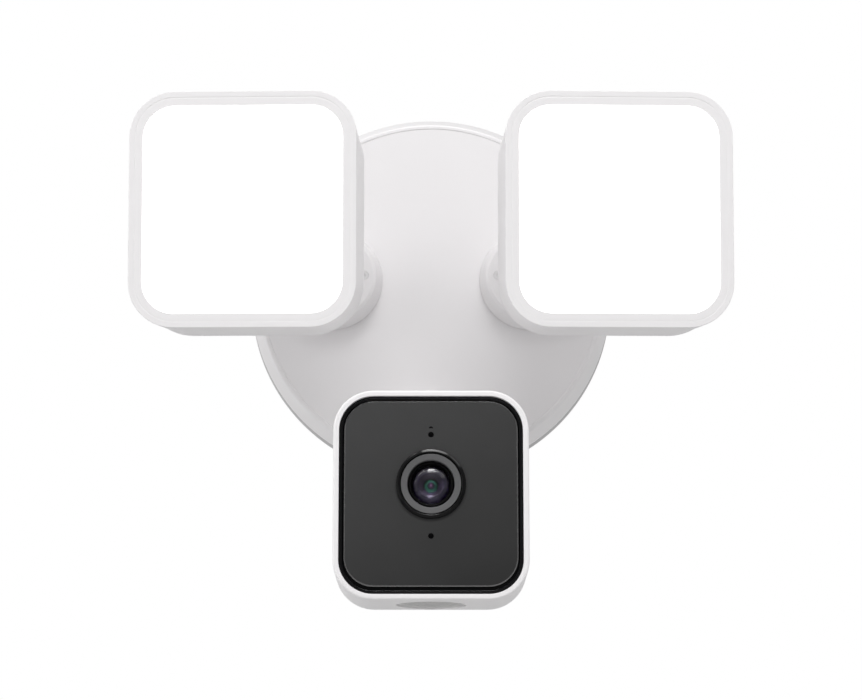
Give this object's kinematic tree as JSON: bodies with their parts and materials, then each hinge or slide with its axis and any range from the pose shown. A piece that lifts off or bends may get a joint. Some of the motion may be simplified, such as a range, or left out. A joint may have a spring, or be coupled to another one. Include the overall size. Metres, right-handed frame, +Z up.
{
  "type": "floodlight security camera",
  "caption": "Round wall canopy carrying two square flood heads and a square camera head, each on a clamped ball joint that tilts and pans.",
  "frame": {"origin": "centre of the wall bracket's back face, on the wall plane", "axes": "+Z up, +Y into the wall, the lights and camera face -Y, +X to the right seen from the front"},
  "size_m": [0.2514, 0.1387, 0.2319],
  "materials": {
    "white_shell": "satin off-white moulded ASA",
    "joint_plastic": "satin off-white moulded plastic",
    "tray_grey": "light grey moulded plastic",
    "diffuser": "opal diffuser, lit from inside",
    "seal_rubber": "matte silicone",
    "gasket_foam": "closed-cell foam",
    "screw_steel": "stainless",
    "zinc_steel": "zinc plated",
    "heat_sink": "bare die-cast",
    "white_inner": "white solder mask and reflector plastic",
    "circuit_board": "green solder mask",
    "terminal_green": "moulded nylon",
    "black_gloss": "polished black",
    "face_grey": "satin charcoal",
    "lens_grey": "satin graphite",
    "lens_glass": "coated glass",
    "grille_grey": "perforated grey metal",
    "light_pipe": "smoked clear plastic",
    "dark_plastic": "matte black moulded"
  },
  "bodies": {
    "wall_unit": {"wall_gasket": "gasket_foam", "wall_bracket": "zinc_steel", "base_tray": "tray_grey", "base_cover": "white_shell", "mount_screw_left": "screw_steel", "mount_screw_right": "screw_steel", "driver_board": "circuit_board", "terminal_block": "terminal_green", "left_socket": "joint_plastic", "left_lock_screw": "screw_steel", "left_arm": "white_shell", "left_arm_nut": "zinc_steel", "right_socket": "joint_plastic", "right_lock_screw": "screw_steel", "right_arm": "white_shell", "right_arm_nut": "zinc_steel", "camera_socket": "joint_plastic", "camera_arm": "white_shell", "camera_arm_nut": "zinc_steel"},
    "left_ball_body": {"left_ball": "joint_plastic", "left_ball_pin": "screw_steel"},
    "left_light": {"left_hub": "white_shell", "left_collar": "white_shell", "left_housing": "white_shell", "left_heat_sink": "heat_sink", "left_led_board": "white_inner", "left_reflector": "white_inner", "left_diffuser_seal": "seal_rubber", "left_diffuser": "diffuser", "left_bezel": "white_shell"},
    "right_ball_body": {"right_ball": "joint_plastic", "right_ball_pin": "screw_steel"},
    "right_light": {"right_hub": "white_shell", "right_collar": "white_shell", "right_housing": "white_shell", "right_heat_sink": "heat_sink", "right_led_board": "white_inner", "right_reflector": "white_inner", "right_diffuser_seal": "seal_rubber", "right_diffuser": "diffuser", "right_bezel": "white_shell"},
    "camera_ball_body": {"camera_ball": "joint_plastic", "camera_ball_pin": "screw_steel"},
    "camera_head": {"camera_hub": "white_shell", "camera_collar": "white_shell", "camera_back_cover": "white_shell", "camera_housing": "white_shell", "speaker_grille": "grille_grey", "speaker": "dark_plastic", "face_panel": "black_gloss", "face_plate": "face_grey", "lens_ring": "black_gloss", "lens_bezel": "white_shell", "lens_barrel": "dark_plastic", "lens_glass": "lens_glass", "light_sensor": "dark_plastic", "status_light": "light_pipe", "sensor_board": "circuit_board", "main_board": "circuit_board"},
    "reset_button_body": {"reset_button": "dark_plastic"}
  },
  "joints": [
    {"name": "left_tilt", "type": "hinge", "parent": "wall_unit", "child": "left_ball_body", "pos_m": [-0.0759, -0.0773, 0.0183], "axis": [1, 0, 0], "range_deg": [-25, 25]},
    {"name": "left_pan", "type": "hinge", "parent": "left_ball_body", "child": "left_light", "pos_m": [-0.0759, -0.0773, 0.0183], "axis": [0, -0.0819, 0.9966], "range_deg": [-27, 25]},
    {"name": "right_tilt", "type": "hinge", "parent": "wall_unit", "child": "right_ball_body", "pos_m": [0.0759, -0.0773, 0.0183], "axis": [1, 0, 0], "range_deg": [-25, 25]},
    {"name": "right_pan", "type": "hinge", "parent": "right_ball_body", "child": "right_light", "pos_m": [0.0759, -0.0773, 0.0183], "axis": [0, -0.0819, 0.9966], "range_deg": [-25, 27]},
    {"name": "camera_tilt", "type": "hinge", "parent": "wall_unit", "child": "camera_ball_body", "pos_m": [0, -0.0883, -0.0952], "axis": [1, 0, 0], "range_deg": [-15, 27]},
    {"name": "camera_pan", "type": "hinge", "parent": "camera_ball_body", "child": "camera_head", "pos_m": [0, -0.0883, -0.0952], "axis": [0, 0.0279, 0.9996], "range_deg": [-30, 30]},
    {"name": "reset_press", "type": "slide", "parent": "camera_head", "child": "reset_button_body", "axis": [0, -0.9996, 0.0279], "range_m": [0, 0.0008], "stiffness_N_per_m": 400, "springref_m": -0.001}
  ]
}
